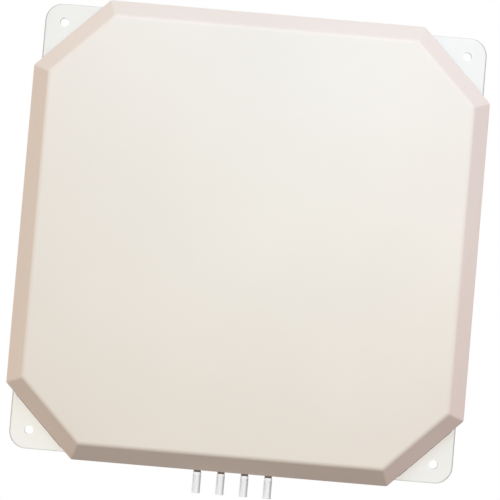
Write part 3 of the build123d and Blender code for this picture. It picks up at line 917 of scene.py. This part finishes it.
def on_skirt(points, foot, depth):
    """The points at the height of the skirt's tapered outer face, or at a depth behind it."""
    return [Vector((point.x, point.y, foot - point.y * SKIRT_DRAFT + depth)) for point in points]


def notch_outline(x, y, half):
    """Outline of a notch in the skirt: round in front, and drawn out to the rim at the back."""
    points = []
    for step in range(ROUND_STEPS):
        angle = tau * step / ROUND_STEPS
        reach = -y if sin(angle) > 0 else half
        points.append(Vector((x + half * cos(angle), y + reach * sin(angle), 0.0)))
    return points


def grommet_collar(x, y, z):
    """Rings of the rounded collar that stands proud of a plug, from its foot up."""
    rings = []
    for step in range(GROMMET_STEPS + 1):
        turn = pi / 2 * step / GROMMET_STEPS
        radius = GROMMET_BEAD_RADIUS - GROMMET_BEAD_ROUND * (1 - sin(turn))
        rings.append(ring_z(x, y, z + GROMMET_BEAD_ROUND * (1 - cos(turn)), radius))
    return rings


def make_grommets():
    """Rubber plugs in the skirt's notches, each with a dark rounded collar around the jack's neck that
    is also painted shade for the skirt's shadow.
    """
    plug_low, plug_high = solids_of("port_grommets")[0]
    half = (plug_high.x - plug_low.x) / 2
    collar_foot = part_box("port_grommets")[0].z
    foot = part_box("cover")[0].z
    neck = NECK_RADIUS + THREAD_CLEARANCE
    shape = bmesh.new()
    for number in PORTS:
        x, y = port_axis(number)
        notch = notch_outline(x, y, half)
        rings = [ring_z(x, y, collar_foot, neck)]
        # Painted shade: the dark collar stands for the skirt's shadow at the root of the jack.
        rings += grommet_collar(x, y, collar_foot)
        rings.append(on_skirt(ring_z(x, y, 0.0, GROMMET_BEAD_RADIUS), foot, 0.0))
        rings.append(on_skirt(notch, foot, 0.0))
        rings.append(on_skirt(notch, foot, WALL))
        rings.append(on_skirt(ring_z(x, y, 0.0, neck), foot, WALL))
        skin(shape, rings, loop=True)
    finishes = [looks["grommet_rubber"]]
    piece("port_grommets_moulded", shape, finishes, ["port_grommets"])


# --- Foam and film ---------------------------------------------------------------------------


def squarish(value):
    """Pull a cosine towards a square wave, for a rounded rectangle."""
    sign = 1 if value >= 0 else -1
    return sign * sqrt(abs(value))


def strip(shape, start, end, across, out, seed):
    """Foam strip between two points: a rounded rectangle that waves slightly along its length."""
    rings = []
    for step in range(STRIP_STEPS + 1):
        share = step / STRIP_STEPS
        centre = start.lerp(end, share)
        wave = noise.noise(Vector((share * NOISE_LENGTH, seed, 0.0))) * STRIP_WAVE
        size = STRIP_END if step in (0, STRIP_STEPS) else 1.0
        points = []
        for turn in range(STRIP_ROUND):
            angle = tau * (turn + 0.5) / STRIP_ROUND
            side = squarish(cos(angle)) * (1 - STRIP_WAVE / across.length) * size
            rise = squarish(sin(angle)) * size
            sway = across.normalized() * wave * abs(side)
            points.append(centre + across * side + out * rise + sway)
        rings.append(points)
    skin(shape, rings)


def make_corner_seals():
    """Foam strips under the cover's four cut corners."""
    low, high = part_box("corner_seals")
    places = [vert.co for vert in frame["nodes"]["corner_seals"].data.vertices]
    reaches = [(abs(place.x) + abs(place.z)) / sqrt(2) for place in places]
    line = (max(reaches) + min(reaches)) / 2
    half_width = (max(reaches) - min(reaches)) / 2 - STRIP_WAVE
    y = (low.y + high.y) / 2
    out = Vector((0.0, (high.y - low.y) / 2, 0.0))
    side_x = high.x - half_width * sqrt(2)
    end_z = high.z - half_width * sqrt(2)
    shape = bmesh.new()
    for count, (side, end) in enumerate(product((-1, 1), repeat=2)):
        start = Vector((side * side_x, y, end * (line * sqrt(2) - side_x)))
        stop = Vector((side * (line * sqrt(2) - end_z), y, end * end_z))
        across = Vector((side, 0.0, end)).normalized() * half_width
        strip(shape, start, stop, across, out, count * CORNER_SEED_STEP)
    piece("corner_seals_foam", shape, [looks["seal_foam"]], ["corner_seals"])


def make_edge_seals():
    """Foam strips between the plate's straight edges and the skirt."""
    shape = bmesh.new()
    for count, (low, high) in enumerate(solids_of("edge_seals")):
        size = high - low
        centre = (low + high) / 2
        if size.x > size.z:
            along = Vector((size.x / 2, 0.0, 0.0))
            across = Vector((0.0, 0.0, size.z / 2 - STRIP_WAVE))
        else:
            along = Vector((0.0, 0.0, size.z / 2))
            across = Vector((size.x / 2 - STRIP_WAVE, 0.0, 0.0))
        out = Vector((0.0, size.y / 2, 0.0))
        strip(shape, centre - along, centre + along, across, out, count * EDGE_SEED_STEP)
    piece("edge_seals_foam", shape, [looks["seal_foam"]], ["edge_seals"])


def pillar_reach(radius, y):
    """Radius of the foam pillar as a function of angle, with a fine ripple, at one depth."""
    def reach(angle):
        turn = PILLAR_RIPPLE_TURN
        place = Vector((turn * cos(angle), y / PILLAR_RIPPLE_LENGTH, turn * sin(angle)))
        return radius - PILLAR_RIPPLE * (1 + noise.noise(place))
    return reach


def make_pillar():
    """Foam pillar, a little waisted between its two pressed ends."""
    low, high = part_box("support_pillar")
    centre = middle("support_pillar")
    full = (high.x - low.x) / 2
    rings = []
    for step in range(STRIP_STEPS + 1):
        share = step / STRIP_STEPS
        y = low.y + (high.y - low.y) * share
        to_end = min(share, 1 - share)
        waist = PILLAR_WAIST * sin(pi * share)
        corner = PILLAR_ROUND * max(0.0, 1 - to_end / PILLAR_ROUND_SHARE) ** 2
        rings.append(ring_y(centre.x, y, centre.z, pillar_reach(full - waist - corner, y)))
    shape = bmesh.new()
    skin(shape, rings)
    piece("support_pillar_foam", shape, [looks["pillar_foam"]], ["support_pillar"])


def make_membrane():
    """Vent film: a flat adhesive rim around a dished middle."""
    low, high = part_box("vent_membrane")
    centre = middle("vent_membrane")
    full = (high.x - low.x) / 2
    rings = [ring_y(centre.x, high.y, centre.z, full - EDGE_BREAK)]
    rings.append(ring_y(centre.x, high.y - EDGE_BREAK, centre.z, full))
    rings.append(ring_y(centre.x, low.y + EDGE_BREAK, centre.z, full))
    rings.append(ring_y(centre.x, low.y, centre.z, full - EDGE_BREAK))
    rings.append(ring_y(centre.x, low.y, centre.z, VENT_RIM))
    for step in range(1, VENT_STEPS):
        share = step / VENT_STEPS
        y = low.y + VENT_DISH * sin(pi / 2 * share)
        rings.append(ring_y(centre.x, y, centre.z, VENT_RIM * (1 - share)))
    shape = bmesh.new()
    skin(shape, rings)
    piece("vent_membrane_film", shape, [looks["membrane_white"]], ["vent_membrane"])


# --- Feed boards -----------------------------------------------------------------------------


def slab(shape, low, high, chamfer):
    """Box with chamfered edges on its front, which faces -Y."""
    rings = []
    for inset, y in ((0.0, high.y), (0.0, low.y + chamfer), (chamfer, low.y)):
        rings.append([
            Vector((low.x + inset, y, low.z + inset)),
            Vector((high.x - inset, y, low.z + inset)),
            Vector((high.x - inset, y, high.z - inset)),
            Vector((low.x + inset, y, high.z - inset)),
        ])
    skin(shape, rings)


def board_spot(number):
    """Centre of a feed board, on the front of its copper."""
    board = f"feed_board_{number}"
    spot = middle(board)
    spot.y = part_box(board)[0].y - TRACE_PROUD
    return spot


def inward(spot):
    """Which way the panel's middle is from a feed board: 1 is right and -1 is left."""
    return -1 if spot.x > 0 else 1


def copper(shape, x, y, z, width, height):
    """Rectangle of printed copper whose front is centred at a place."""
    corner = Vector((x - width / 2, y, z - height / 2))
    other = Vector((x + width / 2, y + TRACE_PROUD, z + height / 2))
    slab(shape, corner, other, TRACE_PROUD / 2)


def make_copper(number):
    """Printed traces and pads on one feed board."""
    spot = board_spot(number)
    x, y, z = spot
    pad_x = x + inward(spot) * PAD_X
    stub_x = x - inward(spot) * STUB_X
    ground_x = x + inward(spot) * GROUND_X
    shape = bmesh.new()
    for end_x in (pad_x, stub_x):
        copper(shape, (end_x + x) / 2, y, z, abs(end_x - x), TRACE_WIDTH)
    copper(shape, pad_x, y, z, PAD_LENGTH, PAD_WIDTH)
    for side in (-1, 1):
        copper(shape, x, y, z + side * STUB_Z / 2, TRACE_WIDTH, STUB_Z)
        copper(shape, ground_x, y, z + side * GROUND_Z, PAD_LENGTH, PAD_WIDTH)
    piece(f"feed_board_{number}_copper", shape, [looks["contact_gold"]], [])


def make_chips(number):
    """Two chip parts on one feed board's stub."""
    spot = board_spot(number)
    length, width, height = CHIP_SIZE
    half = Vector((length / 2, 0.0, width / 2))
    front = Vector((0.0, -height, 0.0))
    shape = bmesh.new()
    for along in (STUB_X, STUB_X / 2):
        place = spot - Vector((inward(spot) * along, 0.0, 0.0))
        slab(shape, place - half + front, place + half, CHIP_CHAMFER)
    piece(f"feed_board_{number}_chips", shape, [looks["grommet_rubber"]], [])


def dome(shape, x, y, z):
    """Solder fillet: a disc that rises to a rounded point towards the front."""
    rings = []
    for step in range(DOME_STEPS + 1):
        share = step / DOME_STEPS
        reach = SOLDER_RADIUS * (1 - SOLDER_TAPER * share ** SOLDER_CURVE)
        rings.append(ring_y(x, y - SOLDER_HEIGHT * share, z, reach, DOME_ROUND))
    skin(shape, rings)


def make_solder(number):
    """Solder over the feed pin, the cable's core and both sides of its braid on one feed board."""
    spot = board_spot(number)
    x, y, z = spot
    shape = bmesh.new()
    dome(shape, x, y, z)
    dome(shape, x + inward(spot) * PAD_X, y, z)
    for side in (-1, 1):
        dome(shape, x + inward(spot) * GROUND_X, y, z + side * GROUND_Z)
    piece(f"feed_board_{number}_solder", shape, [looks["solder_tin"]], [])


# --- Studio ----------------------------------------------------------------------------------


def facing(tree, place, axis):
    """How closely a direction points along an axis: 1 when it does, -1 when it points away."""
    turn = add(tree, "ShaderNodeVectorMath", {"operation": "DOT_PRODUCT"})
    tree.links.new(place, turn.inputs[0])
    turn.inputs[1].default_value = Vector(axis).normalized()
    return turn.outputs["Value"]


def light_from(tree, place, direction, sharpness, colour):
    """Soft light from one direction, as a colour output."""
    towards = maths(tree, "MAXIMUM", facing(tree, place, direction), 0.0)
    lobe = maths(tree, "POWER", towards, sharpness)
    tint = add(tree, "ShaderNodeVectorMath", {"operation": "SCALE"}, Scale=lobe)
    tint.inputs[0].default_value = colour
    return tint.outputs[0]


def sheen_from(tree, place):
    """What polished parts see: a white room, darker below and behind the panel on the right."""
    height = add(tree, "ShaderNodeSeparateXYZ", Vector=place).outputs["Z"]
    below = maths(tree, "MAXIMUM", maths(tree, "MULTIPLY", height, -1.0), 0.0)
    behind = maths(tree, "MAXIMUM", facing(tree, place, SHEEN_BEHIND_AXIS), 0.0)
    shades = [spread(tree, below, 1.0, SHEEN_BELOW), spread(tree, behind, 1.0, SHEEN_BEHIND)]
    level = maths(tree, "MULTIPLY", *shades)
    return add(tree, "ShaderNodeCombineColor", Red=level, Green=level, Blue=level).outputs[0]


def added(tree, first, second):
    """Sum of two colours."""
    both = add(tree, "ShaderNodeVectorMath", {"operation": "ADD"})
    tree.links.new(first, both.inputs[0])
    tree.links.new(second, both.inputs[1])
    return both.outputs[0]


def studio():
    """White surround for the camera, a pale room for reflections, and soft light for the rest."""
    world = bpy.data.worlds.new("studio")
    bpy.context.scene.world = world
    world.use_nodes = True
    tree = world.node_tree
    tree.nodes.clear()
    place = add(tree, "ShaderNodeTexCoord").outputs["Generated"]
    total, *others = [light_from(tree, place, *lobe) for lobe in LIGHT_LOBES.values()]
    for lobe in others:
        total = added(tree, total, lobe)
    light = add(tree, "ShaderNodeBackground", Color=total).outputs[0]
    sheen = add(tree, "ShaderNodeBackground", Color=sheen_from(tree, place)).outputs[0]
    seen = add(tree, "ShaderNodeBackground", Color=(*SURROUND, 1.0)).outputs[0]
    path = add(tree, "ShaderNodeLightPath")
    for factor, other in (("Is Glossy Ray", sheen), ("Is Camera Ray", seen)):
        mix = add(tree, "ShaderNodeMixShader", Fac=path.outputs[factor])
        tree.links.new(light, mix.inputs[1])
        tree.links.new(other, mix.inputs[2])
        light = mix.outputs[0]
    add(tree, "ShaderNodeOutputWorld", Surface=light)


def lamps():
    """Soft round lamps near the panel, without shadows; one lights the back plate only."""
    plate_only = bpy.data.collections.new("plate_only")
    plate_only.objects.link(frame["nodes"]["back_plate"])
    for name, (place, radius, power) in LAMPS.items():
        data = bpy.data.lights.new(name, "POINT")
        data.shadow_soft_size = radius
        data.energy = max(power)
        data.color = [level / data.energy for level in power]
        data.use_shadow = False
        lamp = bpy.data.objects.new(name, data)
        lamp.location = place
        lamp.visible_glossy = False
        if name == PLATE_LAMP:
            lamp.light_linking.receiver_collection = plate_only
        bpy.context.scene.collection.objects.link(lamp)


def floor_material():
    """Pale speckled floor that turns clear towards its rim."""
    material = bpy.data.materials.new("floor")
    material.use_nodes = True
    tree = material.node_tree
    shader = tree.nodes["Principled BSDF"]
    light = [level + FLOOR_SPECKLE for level in FLOOR_COLOUR]
    speckle = ramp(tree, grain(tree, FLOOR_GRAIN), FLOOR_COLOUR, light)
    tree.links.new(speckle, shader.inputs["Base Color"])
    shader.inputs["Roughness"].default_value = FLOOR_ROUGHNESS
    place = add(tree, "ShaderNodeTexCoord").outputs["Object"]
    length = add(tree, "ShaderNodeVectorMath", {"operation": "LENGTH"})
    tree.links.new(place, length.inputs[0])
    fade = add(tree, "ShaderNodeMapRange", {"interpolation_type": "SMOOTHSTEP"})
    tree.links.new(length.outputs["Value"], fade.inputs["Value"])
    fade.inputs["From Min"].default_value = FLOOR_FADE_FROM
    fade.inputs["From Max"].default_value = FLOOR_RADIUS
    clear = add(tree, "ShaderNodeBsdfTransparent")
    mix = add(tree, "ShaderNodeMixShader", Fac=fade.outputs["Result"])
    tree.links.new(shader.outputs[0], mix.inputs[1])
    tree.links.new(clear.outputs[0], mix.inputs[2])
    tree.links.new(mix.outputs[0], tree.nodes["Material Output"].inputs["Surface"])
    return material


def floor_disc():
    """Pale floor below the panel, which fades out into the white surround."""
    shape = bmesh.new()
    bmesh.ops.create_circle(shape, cap_ends=True, segments=ROUND_STEPS, radius=FLOOR_RADIUS)
    mesh = bpy.data.meshes.new("floor")
    shape.to_mesh(mesh)
    shape.free()
    mesh.materials.append(floor_material())
    ground = bpy.data.objects.new("floor", mesh)
    ground.location = (0.0, 0.0, CAD_BOX[0][2] - FLOOR_DROP)
    ground.visible_diffuse = False
    ground.visible_glossy = False
    bpy.context.scene.collection.objects.link(ground)


def camera():
    """Camera at the viewing angle, aimed just off the panel's centre."""
    data = bpy.data.cameras.new("camera")
    data.sensor_width = SENSOR
    data.lens = SENSOR * VIEW_DISTANCE / VIEW_WIDTH
    eye = bpy.data.objects.new("camera", data)
    bpy.context.scene.collection.objects.link(eye)
    bpy.context.scene.camera = eye
    spot = Vector((0.0, -VIEW_DISTANCE, -VIEW_DISTANCE * tan(VIEW_FROM_BELOW)))
    base = (-spot).normalized().to_track_quat("-Z", "Y").to_matrix().to_4x4()
    turn = base @ Matrix.Rotation(VIEW_ROLL, 4, "Z")
    shift = turn @ Vector((AIM_RIGHT, -AIM_DOWN, 0.0))
    eye.matrix_world = Matrix.Translation(spot + shift) @ turn


# --- Put the panel together ------------------------------------------------------------------


def paint_nodes():
    """Give every CAD node the material of its slot."""
    slots = slot_of_nodes()
    for name, node in frame["nodes"].items():
        node.data.materials.clear()
        node.data.materials.append(looks[slots[name]])


bpy.context.scene.view_settings.view_transform = "Standard"
looks = all_materials()
paint_nodes()
for number in PORTS:
    make_jack(number)
    make_copper(number)
    make_chips(number)
    make_solder(number)
make_nuts()
make_washers()
make_ferrules()
make_grommets()
make_corner_seals()
make_edge_seals()
make_pillar()
make_membrane()
studio()
lamps()
floor_disc()
camera()
